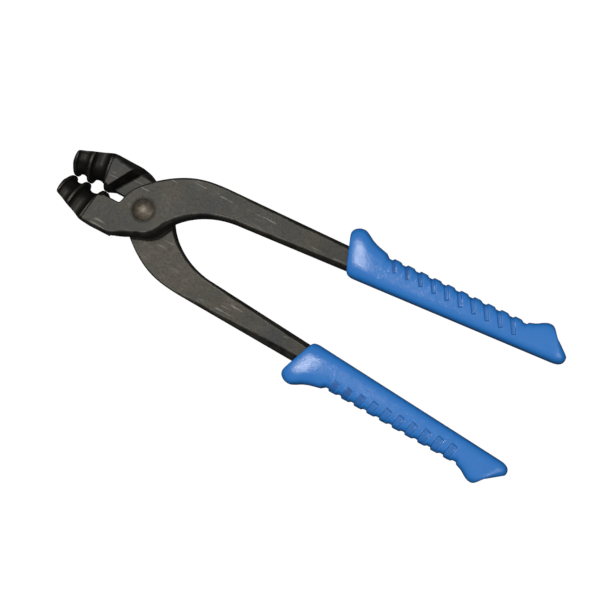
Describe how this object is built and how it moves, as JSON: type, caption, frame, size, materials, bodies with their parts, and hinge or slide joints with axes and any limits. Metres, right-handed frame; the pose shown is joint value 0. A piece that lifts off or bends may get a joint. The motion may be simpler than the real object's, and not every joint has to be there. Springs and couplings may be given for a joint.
{
  "type": "pipe bending pliers",
  "caption": "Lap-joint pliers whose grooved half-round jaws grip a small metal pipe and form the bend, with moulded grips.",
  "frame": {"origin": "on the pivot axis, in the flat back face of the rear lever, where the flush rivet tail ends", "axes": "+X from the jaws to the handles, +Y to the front lever's handle, +Z along the pivot out of the domed rivet head"},
  "size_m": [0.2394, 0.0774, 0.023],
  "materials": {
    "forged_steel": "dark phosphated forging with a dry oiled sheen",
    "rivet_steel": "brown-grey set rivet head",
    "blue_plastic": "satin moulded soft plastic"
  },
  "bodies": {
    "front_half": {"front_lever": "forged_steel", "pivot_rivet": "rivet_steel", "front_grip": "blue_plastic"},
    "rear_half": {"rear_lever": "forged_steel", "rear_grip": "blue_plastic"}
  },
  "joints": [
    {"name": "pivot", "type": "hinge", "parent": "front_half", "child": "rear_half", "pos_m": [0, 0, 0.009], "axis": [0, 0, -1], "range_deg": [0, 38]}
  ]
}
